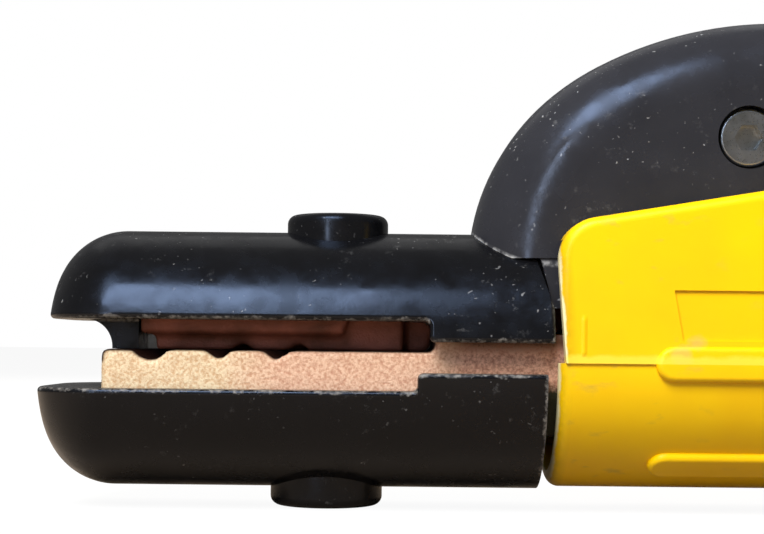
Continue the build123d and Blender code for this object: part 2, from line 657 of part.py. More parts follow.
def shell_bosses(sign, inner_part):
    """Screw bosses, and saddles around the socket, for the shell on one side of the seam."""
    with BuildPart() as bosses:
        with BuildSketch(Plane.XY):
            for x, y in (front_screw_at, rear_screw_at):
                with Locations((x, y), (x, -y)):
                    Circle(boss_r)
        extrude(amount=boss_top_z if sign > 0 else shell_screw_seat_z - 2.5)
        for x in (collar_x[0] - 3.0, collar_x[1] + 0.1):
            with BuildSketch(Plane.YZ.offset(x)):
                Circle(head_r)
                Circle(socket_r + 0.1, mode=Mode.SUBTRACT)
                with Locations((0, sign * head_r / 2)):
                    Rectangle(2 * head_r, head_r, mode=Mode.INTERSECT)
                if sign > 0:
                    with Locations((0, head_r)):
                        Rectangle(2 * head_r, 2 * (head_r - 5.5), mode=Mode.SUBTRACT)
            extrude(amount=2.9)
        add(inner_part, mode=Mode.INTERSECT)
    return bosses.part


with BuildPart() as lower_hollow:
    with BuildSketch(Plane.XY):
        with BuildLine():
            start, end = grip_radius_line(-shell_wall + 0.05, lower_front_x, handle_rear_x)
            Polyline(end, (end[0], 0), (start.X, 0), start)
        make_face()
    revolve(axis=Axis.X, revolution_arc=180)

with BuildPart() as handle_lower_shell:
    with BuildSketch(Plane.XY):
        with BuildLine():
            start, end = grip_radius_line(0.0, lower_front_x, handle_rear_x)
            Polyline(end, (end[0], 0), (start.X, 0), start)
        make_face()
        fillet(vertices().filter_by(lambda v: v.Y < -18), 2.0)
    revolve(axis=Axis.X, revolution_arc=180)
    with BuildSketch(Plane.XY):
        with BuildLine():
            start, end = grip_radius_line(-shell_wall, lower_front_x - 1, handle_rear_x + 1)
            Polyline(end, (end[0], 0), (start.X, 0), start)
        make_face()
    revolve(axis=Axis.X, revolution_arc=180, mode=Mode.SUBTRACT)
    add(grip_ribs(rib_angles + (0.0, 180.0), -1))
    with BuildSketch(Plane.XY):
        Rectangle(400.0, 3 * head_r)
    extrude(amount=head_r, mode=Mode.SUBTRACT)
    add(shell_bosses(-1, lower_hollow.part))
    with BuildSketch(Plane.XY.offset(shell_screw_seat_z)):
        for x, y in (front_screw_at, rear_screw_at):
            with Locations((x, y), (x, -y)):
                Circle(shell_screw_head_r + 0.2)
    extrude(amount=-14.0, mode=Mode.SUBTRACT)
    with BuildSketch(Plane.XY):
        for x, y in (front_screw_at, rear_screw_at):
            with Locations((x, y), (x, -y)):
                Circle(shell_screw_r + 0.2)
    extrude(amount=-14.0, mode=Mode.SUBTRACT)

with BuildPart() as handle_upper_shell:
    add(upper_blank(0.0, upper_front_x, handle_rear_x))
    add(upper_blank(shell_wall, upper_front_x - 1, handle_rear_x + 1), mode=Mode.SUBTRACT)
    add(grip_ribs((0.0, 180.0), 1))
    with BuildSketch(Plane.XY):
        Rectangle(400.0, 3 * head_r)
    extrude(amount=-head_r, mode=Mode.SUBTRACT)
    # Slot that the guard sinks into
    with BuildSketch(Plane.XY.offset(12.0)):
        with Locations(((slot_end_x - 100.0) / 2, 0)):
            Rectangle(slot_end_x + 100.0, 2 * slot_half_width)
        fillet(vertices().group_by(Axis.X)[-1], 8.0)
    extrude(amount=30.0, mode=Mode.SUBTRACT)
    # Shallow panel in each cheek
    for side in (1, -1):
        with BuildSketch(Plane.XZ.offset(side * (head_r - 0.45))):
            side_outline((-74.8, 11.4), (-30.0, 11.4), (-28.4, 3.6), (-73.4, 3.6))
        extrude(amount=side * 3.0, mode=Mode.SUBTRACT)
    add(shell_bosses(1, upper_blank(shell_wall - 0.05, upper_front_x, handle_rear_x)))
    with BuildSketch(Plane.XY):
        for x, y in (front_screw_at, rear_screw_at):
            with Locations((x, y), (x, -y)):
                Circle(insert_r)
    extrude(amount=boss_top_z - 1.0, mode=Mode.SUBTRACT)


def shell_screws(x, y):
    """A pair of screws from below, their heads sunk in the lower shell."""
    with BuildPart() as screws:
        with BuildSketch(Plane.XY.offset(shell_screw_seat_z)):
            with Locations((x, y), (x, -y)):
                Circle(shell_screw_head_r)
        extrude(amount=-2.3)
        with BuildSketch(Plane.XY.offset(shell_screw_seat_z - 2.3)):
            with Locations((x, y), (x, -y)):
                RegularPolygon(1.5, 6)
        extrude(amount=1.4, mode=Mode.SUBTRACT)
        with BuildSketch(Plane.XY.offset(shell_screw_seat_z)):
            with Locations((x, y), (x, -y)):
                Circle(shell_screw_r)
        extrude(amount=boss_top_z - 1.6 - shell_screw_seat_z)
    return screws


def shell_inserts(x, y):
    """The pair of threaded brass inserts above them."""
    with BuildPart() as inserts:
        with BuildSketch(Plane.XY.offset(0.3)):
            with Locations((x, y), (x, -y)):
                Circle(insert_r)
                Circle(shell_screw_r, mode=Mode.SUBTRACT)
        extrude(amount=boss_top_z - 1.5)
    return inserts


front_shell_screws = shell_screws(*front_screw_at)
rear_shell_screws = shell_screws(*rear_screw_at)
front_shell_inserts = shell_inserts(*front_screw_at)
rear_shell_inserts = shell_inserts(*rear_screw_at)

with BuildPart() as cable_sleeve:
    with BuildSketch(Plane.XZ):
        side_outline(
            (sleeve_x[0], sleeve_bore_r), (sleeve_x[0], 16.6), (56.0, 16.6), (handle_rear_x + 0.5, 17.0),
            (sleeve_x[1], 13.0), (sleeve_x[1], sleeve_bore_r),
            rounded=((sleeve_x[1], 13.0),), r=1.5,
        )
    revolve(axis=Axis.X)

# ---------------------------------------------------------------- files

pieces = {
    "jaw_body": jaw_body,
    "lower_jaw_cover": lower_jaw_cover,
    "lower_cover_screw_head": lower_cover_screw_head,
    "lower_cover_screw_stud": lower_cover_screw_stud,
    "upper_jaw": upper_jaw,
    "upper_jaw_cover": upper_jaw_cover,
    "upper_cover_screw_head": upper_cover_screw_head,
    "upper_cover_screw_stud": upper_cover_screw_stud,
    "lever_guard": lever_guard,
    "guard_screw": guard_screw,
    "guard_nut": guard_nut,
    "pivot_pin": pivot_pin,
    "pivot_bush": pivot_bush,
    "pivot_washers": pivot_washers,
    "pivot_retaining_rings": pivot_retaining_rings,
    "lower_spring_seat": lower_spring_seat,
    "upper_spring_seat": upper_spring_seat,
    "closing_spring": closing_spring,
    "open_stop_pad": open_stop_pad,
    "front_set_screw": front_set_screw,
    "rear_set_screw": rear_set_screw,
    "cable_pressure_plate": cable_pressure_plate,
    "handle_upper_shell": handle_upper_shell,
    "handle_lower_shell": handle_lower_shell,
    "front_shell_screws": front_shell_screws,
    "rear_shell_screws": rear_shell_screws,
    "front_shell_inserts": front_shell_inserts,
    "rear_shell_inserts": rear_shell_inserts,
    "cable_sleeve": cable_sleeve,
}

os.makedirs("parts", exist_ok=True)
for name, piece in pieces.items():
    piece.part.label = name
    export_step(piece.part, f"parts/{name}.step")
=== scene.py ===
from functools import partial
from math import radians

import bpy
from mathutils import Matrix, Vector


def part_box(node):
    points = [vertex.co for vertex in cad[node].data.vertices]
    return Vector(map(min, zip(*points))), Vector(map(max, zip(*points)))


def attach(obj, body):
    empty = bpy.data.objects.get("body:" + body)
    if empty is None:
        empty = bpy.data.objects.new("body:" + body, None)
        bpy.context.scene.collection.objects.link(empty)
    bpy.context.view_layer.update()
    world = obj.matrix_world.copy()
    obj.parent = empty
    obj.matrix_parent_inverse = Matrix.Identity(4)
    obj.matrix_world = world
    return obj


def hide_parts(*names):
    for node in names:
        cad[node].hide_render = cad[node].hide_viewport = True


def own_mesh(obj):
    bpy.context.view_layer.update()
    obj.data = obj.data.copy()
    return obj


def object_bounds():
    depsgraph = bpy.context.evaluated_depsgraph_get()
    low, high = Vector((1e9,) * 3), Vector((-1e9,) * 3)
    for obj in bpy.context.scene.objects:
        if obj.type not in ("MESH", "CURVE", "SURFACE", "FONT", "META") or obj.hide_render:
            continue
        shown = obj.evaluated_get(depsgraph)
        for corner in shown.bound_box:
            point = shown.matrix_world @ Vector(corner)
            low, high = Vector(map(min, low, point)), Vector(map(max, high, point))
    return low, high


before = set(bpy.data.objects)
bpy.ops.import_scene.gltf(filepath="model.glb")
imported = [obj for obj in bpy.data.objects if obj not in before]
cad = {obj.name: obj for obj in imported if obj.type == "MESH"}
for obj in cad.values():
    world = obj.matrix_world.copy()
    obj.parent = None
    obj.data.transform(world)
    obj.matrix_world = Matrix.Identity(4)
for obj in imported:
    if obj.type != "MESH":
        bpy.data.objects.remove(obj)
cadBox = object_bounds()
mm = 0.001
print("frame loaded:", len(cad), "nodes")


# Helpers for colours, patterns and shader nodes

def srgb(hexCode):
    channels = [int(hexCode[i:i + 2], 16) / 255 for i in (1, 3, 5)]
    linear = [c / 12.92 if c <= 0.04045 else ((c + 0.055) / 1.055) ** 2.4 for c in channels]
    return (*linear, 1.0)


def perLump(sizeMm):
    # texture scale that makes one lump or grain about this many millimetres wide
    return 1 / (sizeMm * mm)


def addNode(tree, kind, inputs=None, out=0, **settings):
    node = tree.nodes.new(kind)
    for name, value in settings.items():
        setattr(node, name, value)
    for key, value in (inputs or {}).items():
        if isinstance(value, bpy.types.NodeSocket):
            tree.links.new(value, node.inputs[key])
        else:
            node.inputs[key].default_value = value
    return node.outputs[out] if node.outputs else node


def newMaterial(name):
    material = bpy.data.materials.new(name)
    material.use_nodes = True
    material.node_tree.nodes.clear()
    return material, partial(addNode, material.node_tree)


def paint(node, material):
    target = cad[node]
    target.data.materials.clear()
    target.data.materials.append(material)


# Helpers for modelled pieces

def grab(piece):
    if bpy.context.object and bpy.context.object.mode != "OBJECT":
        bpy.ops.object.mode_set(mode="OBJECT")
    bpy.ops.object.select_all(action="DESELECT")
    piece.select_set(True)
    bpy.context.view_layer.objects.active = piece


def applyModifier(piece, kind, **settings):
    grab(piece)
    modifier = piece.modifiers.new(kind.lower(), kind)
    for name, value in settings.items():
        setattr(modifier, name, value)
    bpy.ops.object.modifier_apply(modifier=modifier.name)


# Camera: level with the jaws, straight from the side, close enough for some perspective
camera = {
    "eye": (-119.67, -266.7, 2.67),
    "lens": 75.4,
    "sensor": 36.0,
    "roll": 0.6,
    "rise": 0.1008,
}


def makeCamera():
    data = bpy.data.cameras.new("sideCamera")
    data.lens, data.sensor_width = camera["lens"], camera["sensor"]
    data.shift_y = camera["rise"]
    data.clip_start = 0.01
    data.clip_end = 50.0
    viewer = bpy.data.objects.new("sideCamera", data)
    bpy.context.scene.collection.objects.link(viewer)
    viewer.location = Vector(camera["eye"]) * mm
    viewer.rotation_euler = (radians(90), radians(-camera["roll"]), 0)
    bpy.context.scene.camera = viewer
    bpy.context.scene.view_settings.view_transform = "Standard"


makeCamera()
print("camera placed")


# Studio: a pale floor and surround. The key lights from the upper left without glare. A bluish window is
# mirrored along the black covers, and a tall strip in the guard's front edge. One broad light serves the
# far side, and one faint light behind edges the tops.
studio = {
    "floorGapMm": 0.05,
    "floorSize": 12.0,
    "floorPaper": "#F6F6F4",
    "floorBounce": "#877A6C",
    "floorGlow": 0.93,
    "surround": 0.13,
    "aim": (-0.12, 0, 0),
}
lamps = {
    "key": {
        "at": (-0.34, -0.52, 0.60), "size": (0.50, 0.40), "watts": 10.7, "tint": "#FFF9F0", "gloss": False,
    },
    "window": {
        "at": (-0.245, -0.335, 0.50), "size": (0.26, 0.23), "watts": 2.4, "tint": "#A9C4F2", "gloss": True,
    },
    "strip": {
        "at": (-0.345, -0.545, 0.20), "size": (0.03, 0.36), "watts": 0.75, "tint": "#BFD4FA", "gloss": True,
    },
    "back": {
        "at": (0.02, 0.60, 0.46), "size": (0.60, 0.40), "watts": 9.0, "tint": "#FFFCF6", "gloss": False,
    },
    "rear": {
        "at": (-0.12, 0.50, 0.56), "size": (0.80, 0.34), "watts": 0.2, "tint": "#FFFFFF", "gloss": True,
    },
}


def makeSoftBox(name):
    box = lamps[name]
    data = bpy.data.lights.new(name, "AREA")
    data.shape = "RECTANGLE"
    data.size, data.size_y = box["size"]
    data.energy = box["watts"]
    data.color = srgb(box["tint"])[:3]
    lamp = bpy.data.objects.new(name, data)
    bpy.context.scene.collection.objects.link(lamp)
    lamp.location = box["at"]
    lamp.rotation_euler = (Vector(studio["aim"]) - lamp.location).to_track_quat("-Z", "Y").to_euler()
    lamp.visible_glossy = box["gloss"]


def makeSurround():
    world = bpy.data.worlds.new("paleSurround")
    bpy.context.scene.world = world
    world.use_nodes = True
    world.node_tree.nodes.clear()
    add = partial(addNode, world.node_tree)
    seen = add("ShaderNodeLightPath", out="Is Camera Ray")
    light = add("ShaderNodeBackground", {"Color": srgb("#FFFFFF"), "Strength": studio["surround"]})
    backdrop = add("ShaderNodeBackground", {"Color": srgb("#FFFFFF"), "Strength": 1.0})
    surface = add("ShaderNodeMixShader", {0: seen, 1: light, 2: backdrop})
    add("ShaderNodeOutputWorld", {"Surface": surface})


def makeFloor():
    lowest = cadBox[0].z - studio["floorGapMm"] * mm
    bpy.ops.mesh.primitive_plane_add(size=studio["floorSize"], location=(0, 0, lowest))
    floor = bpy.context.object
    floor.name = "studioFloor"
    material, add = newMaterial("paleFloorPaper")
    seen = add("ShaderNodeLightPath", out="Is Camera Ray")
    colour = add("ShaderNodeMix", {
        0: seen, 6: srgb(studio["floorBounce"]), 7: srgb(studio["floorPaper"]),
    }, 2, data_type="RGBA")
    paper = add("ShaderNodeBsdfDiffuse", {"Color": colour})
    glow = add("ShaderNodeEmission", {"Color": srgb("#FFFFFF"), "Strength": 1.0})
    share = add("ShaderNodeMath", {0: seen, 1: studio["floorGlow"]}, operation="MULTIPLY")
    surface = add("ShaderNodeMixShader", {0: share, 1: paper, 2: glow})
    add("ShaderNodeOutputMaterial", {"Surface": surface})
    floor.data.materials.append(material)


makeSurround()
makeFloor()
for name in lamps:
    makeSoftBox(name)
print("studio lit")


# Compression-moulded phenolic: deep black with a satin skin that flows a little, its rims rubbed grey-brown
phenolic = {
    "black": "#060607",
    "cloudy": "#101012",
    "hazed": ("#232326", "#303033"),
    "cloudMm": 9,
    "worn": "#8A857C",
    "dust": "#A9A8A4",
    "roughness": (0.15, 0.31),
    "sheenMm": 4,
    "speckMm": 0.8,
    "dustyMm": 11,
    "scuffMm": 2.2,
    "seamDustMm": 1.4,
    "rimMm": 1.2,
    "raggedMm": 2.4,
    "flakeMm": 0.7,
    "flowMm": 14,
    "flowDepthMm": 0.12,
    "skinMm": 0.6,
    "skinDepthMm": 0.008,
}


def dustShare(add, point, specks, saddle):
    # lone specks and faint scuffs, both only in places
    tips = add("ShaderNodeTexNoise", {"Vector": point, "Scale": perLump(phenolic["speckMm"]), "Detail": 1})
    tips = add("ShaderNodeMapRange", {"Value": tips, "From Min": 0.71, "From Max": 0.78})
    places = add("ShaderNodeTexNoise", {"Vector": point, "Scale": perLump(phenolic["dustyMm"]), "Detail": 2})
    where = add("ShaderNodeMapRange", {
        "Value": places, "From Min": 0.45, "From Max": 0.62, "To Max": specks,
    })
    dust = add("ShaderNodeMath", {0: tips, 1: where}, operation="MULTIPLY")
    scuffs = add("ShaderNodeTexNoise", {
        "Vector": point, "Scale": perLump(phenolic["scuffMm"]), "Detail": 6, "Roughness": 0.75,
    })
    scuffs = add("ShaderNodeMapRange", {"Value": scuffs, "From Min": 0.60, "From Max": 0.72, "To Max": 0.16})
    where = add("ShaderNodeMapRange", {"Value": places, "From Min": 0.45, "From Max": 0.60})
    scuffs = add("ShaderNodeMath", {0: scuffs, 1: where}, operation="MULTIPLY")
    dust = add("ShaderNodeMath", {0: dust, 1: scuffs}, operation="MAXIMUM")
    if saddle is None:
        return dust

    # A broken line of dust in the seam, where the radius from the holder's axis is the saddle's
    across = add("ShaderNodeSeparateXYZ", {"Vector": point}, "Y")
    height = add("ShaderNodeSeparateXYZ", {"Vector": point}, "Z")
    fromAxis = add("ShaderNodeCombineXYZ", {"Y": across, "Z": height})
    radius = add("ShaderNodeVectorMath", {0: fromAxis}, "Value", operation="LENGTH")
    above = add("ShaderNodeMapRange", {
        "Value": radius, "From Min": (saddle + 0.5) * mm, "From Max": (saddle + 0.1) * mm,
    })
    below = add("ShaderNodeMapRange", {
        "Value": radius, "From Min": (saddle - 0.4) * mm, "From Max": (saddle - 0.1) * mm,
    })
    seam = add("ShaderNodeMath", {0: above, 1: below}, operation="MULTIPLY")
    broken = add("ShaderNodeTexNoise", {
        "Vector": point, "Scale": perLump(phenolic["seamDustMm"]), "Detail": 4,
    })
    broken = add("ShaderNodeMapRange", {
        "Value": broken, "From Min": 0.42, "From Max": 0.6, "To Min": 0.05, "To Max": 0.9,
    })
    seam = add("ShaderNodeMath", {0: seam, 1: broken}, operation="MULTIPLY")
    return add("ShaderNodeMath", {0: dust, 1: seam}, operation="MAXIMUM")


def rimWearShare(add, point, cover):
    # a ragged strip along the rim and the rear edge, which flakes, and is fainter on the flat of the rim
    along = add("ShaderNodeSeparateXYZ", {"Vector": point}, "X")
    height = add("ShaderNodeSeparateXYZ", {"Vector": point}, "Z")
    behind = add("ShaderNodeMath", {0: along, 1: cover["stepX"] * mm}, operation="GREATER_THAN")
    level = add("ShaderNodeMapRange", {
        "Value": behind, "To Min": cover["jawRim"] * mm, "To Max": cover["neckRim"] * mm,
    })
    depth = add("ShaderNodeMath", {0: height, 1: level}, operation="SUBTRACT")
    depth = add("ShaderNodeMath", {0: depth, 1: cover["side"]}, operation="MULTIPLY")
    inside = add("ShaderNodeMapRange", {"Value": depth, "From Min": -0.5 * mm, "From Max": -0.2 * mm})
    fromRear = add("ShaderNodeMath", {0: cover["rearX"] * mm, 1: along}, operation="SUBTRACT")
    depth = add("ShaderNodeMath", {0: depth, 1: fromRear}, operation="MINIMUM")
    ragged = add("ShaderNodeTexNoise", {
        "Vector": point, "Scale": perLump(phenolic["raggedMm"]), "Detail": 5, "Roughness": 0.7,
    })
    reach = add("ShaderNodeMapRange", {
        "Value": ragged, "From Min": 0.32, "From Max": 0.75, "To Max": phenolic["rimMm"] * mm,
    })
    reach = add("ShaderNodeMath", {0: reach, 1: depth}, operation="SUBTRACT")
    worn = add("ShaderNodeMapRange", {"Value": reach, "From Max": 0.35 * mm, "To Max": 0.8})
    flakes = add("ShaderNodeTexNoise", {
        "Vector": point, "Scale": perLump(phenolic["flakeMm"]), "Detail": 3,
    })
    flakes = add("ShaderNodeMapRange", {
        "Value": flakes, "From Min": 0.38, "From Max": 0.65, "To Min": 0.15, "To Max": 1.0,
    })
    worn = add("ShaderNodeMath", {0: worn, 1: flakes}, operation="MULTIPLY")
    worn = add("ShaderNodeMath", {0: worn, 1: inside}, operation="MULTIPLY")
    facing = add("ShaderNodeNewGeometry", out="Normal")
    facing = add("ShaderNodeSeparateXYZ", {"Vector": facing}, "Z")
    facing = add("ShaderNodeMath", {0: facing}, operation="ABSOLUTE")
    facing = add("ShaderNodeMapRange", {
        "Value": facing, "From Min": 0.8, "From Max": 0.98, "To Min": 1, "To Max": 0.3,
    })
    return add("ShaderNodeMath", {0: worn, 1: facing}, operation="MULTIPLY")


def makePhenolic(name, cover=None, specks=0.4, saddle=None, hazed=False):
    # cover: where the rims are that wear. saddle: radius of a seam that collects dust. hazed: greyed by dust
    material, add = newMaterial(name)
    point = add("ShaderNodeTexCoord", out="Object")
    cloud = add("ShaderNodeTexNoise", {"Vector": point, "Scale": perLump(phenolic["cloudMm"]), "Detail": 5})
    dark, light = phenolic["hazed"] if hazed else (phenolic["black"], phenolic["cloudy"])
    colour = add("ShaderNodeMix", {0: cloud, 6: srgb(dark), 7: srgb(light)}, 2, data_type="RGBA")
    dust = dustShare(add, point, specks, saddle)
    colour = add("ShaderNodeMix", {0: dust, 6: colour, 7: srgb(phenolic["dust"])}, 2, data_type="RGBA")
    low, high = phenolic["roughness"]
    sheen = add("ShaderNodeTexNoise", {"Vector": point, "Scale": perLump(phenolic["sheenMm"]), "Detail": 5})
    roughness = add("ShaderNodeMapRange", {
        "Value": sheen, "From Min": 0.35, "From Max": 0.65, "To Min": low, "To Max": high,
    })
    if cover:
        worn = rimWearShare(add, point, cover)
        colour = add("ShaderNodeMix", {0: worn, 6: colour, 7: srgb(phenolic["worn"])}, 2, data_type="RGBA")
        roughness = add("ShaderNodeMath", {0: worn, 1: 0.35, 2: roughness}, operation="MULTIPLY_ADD")
    flow = add("ShaderNodeTexNoise", {"Vector": point, "Scale": perLump(phenolic["flowMm"]), "Detail": 2})
    skin = add("ShaderNodeTexNoise", {"Vector": point, "Scale": perLump(phenolic["skinMm"]), "Detail": 2})
    normal = add("ShaderNodeBump", {"Height": flow, "Distance": phenolic["flowDepthMm"] * mm})
    normal = add("ShaderNodeBump", {
        "Height": skin, "Distance": phenolic["skinDepthMm"] * mm, "Normal": normal,
    })
    surface = add("ShaderNodeBsdfPrincipled", {
        "Base Color": colour, "Roughness": roughness, "IOR": 1.5, "Specular IOR Level": 0.4,
        "Normal": normal,
    })
    add("ShaderNodeOutputMaterial", {"Surface": surface})
    return material


# Sand-cast copper alloy: matte, every grain of the mould showing, its gripping face sooty and painted darker
# still as the shade under the upper jaw, its neck's top painted with the cover lip's shadow
castCopper = {
    "sand": ("#F6DFB4", "#D6AC7E"),
    "peach": ("#F4CAA6", "#CC9676"),
    "sandEndsX": (-146.0, -136.0),
    "neckTopOxideAndShade": "#6A442C",
    "neckTopOxideAndShadeZ": (2.6, 4.2),
    "neckSide": ("#ECB898", "#B47A60"),
    "neckStainAndShadeX": (-111.5, -106.5),
    "driftMm": 8,
    "blotchMm": 7,
    "grimeAndGapShade": "#34331F",
    "gapGrimeAndShadeX": (-96.0, -94.5),
    "gapGrimeAndShadeZ": (-2.0, -4.0),
    "sootAndJawShade": "#2A1810",
    "sootAndJawShadeY": (16.1, 15.6),
    "sootAndJawShadeZ": (-0.9, -0.3),
    "brownedAndShaded": ("#A8624C", "#74432F"),
    "brownBlotchMm": 6,
    "grainMm": 0.42,
    "grainDepthMm": 0.10,
}


def makeCastCopper():
    material, add = newMaterial("sandCastCopper")
    point = add("ShaderNodeTexCoord", out="Object")
    along = add("ShaderNodeSeparateXYZ", {"Vector": point}, "X")
    across = add("ShaderNodeSeparateXYZ", {"Vector": point}, "Y")
    height = add("ShaderNodeSeparateXYZ", {"Vector": point}, "Z")
    grain = add("ShaderNodeTexNoise", {
        "Vector": point, "Scale": perLump(castCopper["grainMm"]), "Detail": 3, "Roughness": 0.6,
    })
    spread = add("ShaderNodeMapRange", {"Value": grain, "From Min": 0.62, "From Max": 0.34})
    blotch = add("ShaderNodeTexNoise", {
        "Vector": point, "Scale": perLump(castCopper["blotchMm"]), "Detail": 4,
    })
    drift = castCopper["driftMm"] * mm
    drifting = add("ShaderNodeMath", {0: blotch, 1: drift, 2: along}, operation="MULTIPLY_ADD")

    # Yellowish sand colour near the tip, pinker towards the neck
    tones = {}
    for tone in ("sand", "peach", "neckSide"):
        light, dark = castCopper[tone]
        tones[tone] = add("ShaderNodeMix", {0: spread, 6: srgb(light), 7: srgb(dark)}, 2, data_type="RGBA")
    start, end = castCopper["sandEndsX"]
    share = add("ShaderNodeMapRange", {
        "Value": drifting, "From Min": start * mm + drift / 2, "From Max": end * mm + drift / 2,
    })
    colour = add("ShaderNodeMix", {0: share, 6: tones["sand"], 7: tones["peach"]}, 2, data_type="RGBA")

    # Heat-stained neck, its top darkened further as painted shadow of the upper cover's lip
    start, end = castCopper["neckTopOxideAndShadeZ"]
    upper = add("ShaderNodeMath", {0: grain, 1: 2.4 * mm, 2: height}, operation="MULTIPLY_ADD")
    upper = add("ShaderNodeMapRange", {"Value": upper, "From Min": start * mm, "From Max": end * mm})
    neck = add("ShaderNodeMix", {
        0: upper, 6: tones["neckSide"], 7: srgb(castCopper["neckTopOxideAndShade"]),
    }, 2, data_type="RGBA")
    start, end = castCopper["neckStainAndShadeX"]
    share = add("ShaderNodeMapRange", {
        "Value": drifting, "From Min": start * mm + drift / 2, "From Max": end * mm + drift / 2,
        "To Max": 0.95,
    })
    colour = add("ShaderNodeMix", {0: share, 6: colour, 7: neck}, 2, data_type="RGBA")

    # The neck painted dark olive where it enters the handle, below the covers' rims: painted shade of that
    # gap, over oily grime
    start, end = castCopper["gapGrimeAndShadeX"]
    behind = add("ShaderNodeMapRange", {"Value": along, "From Min": start * mm, "From Max": end * mm})
    start, end = castCopper["gapGrimeAndShadeZ"]
    below = add("ShaderNodeMath", {0: grain, 1: 1.5 * mm, 2: height}, operation="MULTIPLY_ADD")
    below = add("ShaderNodeMapRange", {"Value": below, "From Min": start * mm, "From Max": end * mm})
    share = add("ShaderNodeMath", {0: behind, 1: below}, operation="MULTIPLY")
    colour = add("ShaderNodeMix", {0: share, 6: colour, 7: srgb(castCopper["grimeAndGapShade"])}, 2, data_type="RGBA")

    # Soot on the gripping face and in its grooves, darkened further as painted shade under the closed upper
    # jaw, stopping just short of the clean flank
    start, end = castCopper["sootAndJawShadeY"]
    distance = add("ShaderNodeMath", {0: across}, operation="ABSOLUTE")
    inner = add("ShaderNodeMapRange", {"Value": distance, "From Min": start * mm, "From Max": end * mm})
    start, end = castCopper["sootAndJawShadeZ"]
    high = add("ShaderNodeMapRange", {"Value": height, "From Min": start * mm, "From Max": end * mm})
    share = add("ShaderNodeMath", {0: inner, 1: high}, operation="MULTIPLY")
    colour = add("ShaderNodeMix", {0: share, 6: colour, 7: srgb(castCopper["sootAndJawShade"])}, 2, data_type="RGBA")
    roughness = add("ShaderNodeMapRange", {
        "Value": grain, "From Min": 0.3, "From Max": 0.7, "To Min": 0.72, "To Max": 0.55,
    })
    normal = add("ShaderNodeBump", {"Height": grain, "Distance": castCopper["grainDepthMm"] * mm})
    surface = add("ShaderNodeBsdfPrincipled", {
        "Base Color": colour, "Metallic": 0.25, "Roughness": roughness, "Normal": normal,
    })
    add("ShaderNodeOutputMaterial", {"Surface": surface})
    return material


def makeBrownedAndShadedCopper():
    # The same casting alloy, browned by heat and painted darker all over as the shade it sits in under the
    # cover's lip
    material, add = newMaterial("sandCastCopperBrownedAndShaded")
    point = add("ShaderNodeTexCoord", out="Object")
    grain = add("ShaderNodeTexNoise", {
        "Vector": point, "Scale": perLump(castCopper["grainMm"]), "Detail": 3, "Roughness": 0.6,
    })
    blotch = add("ShaderNodeTexNoise", {
        "Vector": point, "Scale": perLump(castCopper["brownBlotchMm"]), "Detail": 5,
    })
    share = add("ShaderNodeMapRange", {"Value": blotch, "From Min": 0.35, "From Max": 0.65})
    light, dark = castCopper["brownedAndShaded"]
    colour = add("ShaderNodeMix", {0: share, 6: srgb(light), 7: srgb(dark)}, 2, data_type="RGBA")
    roughness = add("ShaderNodeMapRange", {
        "Value": grain, "From Min": 0.3, "From Max": 0.7, "To Min": 0.6, "To Max": 0.45,
    })
    normal = add("ShaderNodeBump", {"Height": grain, "Distance": castCopper["grainDepthMm"] * mm})
    surface = add("ShaderNodeBsdfPrincipled", {
        "Base Color": colour, "Metallic": 0.3, "Roughness": roughness, "Normal": normal,
    })
    add("ShaderNodeOutputMaterial", {"Surface": surface})
    return material


# Injection-moulded nylon, yellow all through: semi-gloss, its front edge pale from rubbing and painted
# highlight, with a painted shade line and grime behind it
yellowNylon = {
    "yellow": "#FCCB00",
    "deep": "#F6C000",
    "seamHighlight": "#FBE04A",
    "shade": "#857008",
    "grimeAndGapShade": "#8A8055",
    "smudge": "#C9B25A",
    "cream": "#E9DFAE",
    "blotchMm": 18,
    "patchMm": 3,
    "edgeShadeMm": (2.2, 0.3),
    "edgeMm": (0.15, 0.6),
    "smearMm": 2.6,
    "smearStretch": (0.6, 1, 1),
    "smearFadesX": (-66, -78),
    "waveMm": 16,
    "waveDepthMm": 0.2,
    "skinMm": 0.7,
    "skinDepthMm": 0.006,
    "smudges": ((-73.6, 1.3, 1.8), (-71.3, 3.3, 1.4)),
    "seamHighlightZ": (2.3, 1.6),
    "markX": -88.6,
    "markZ": (1.0, 7.5),
    "markHeightMm": 0.15,
}


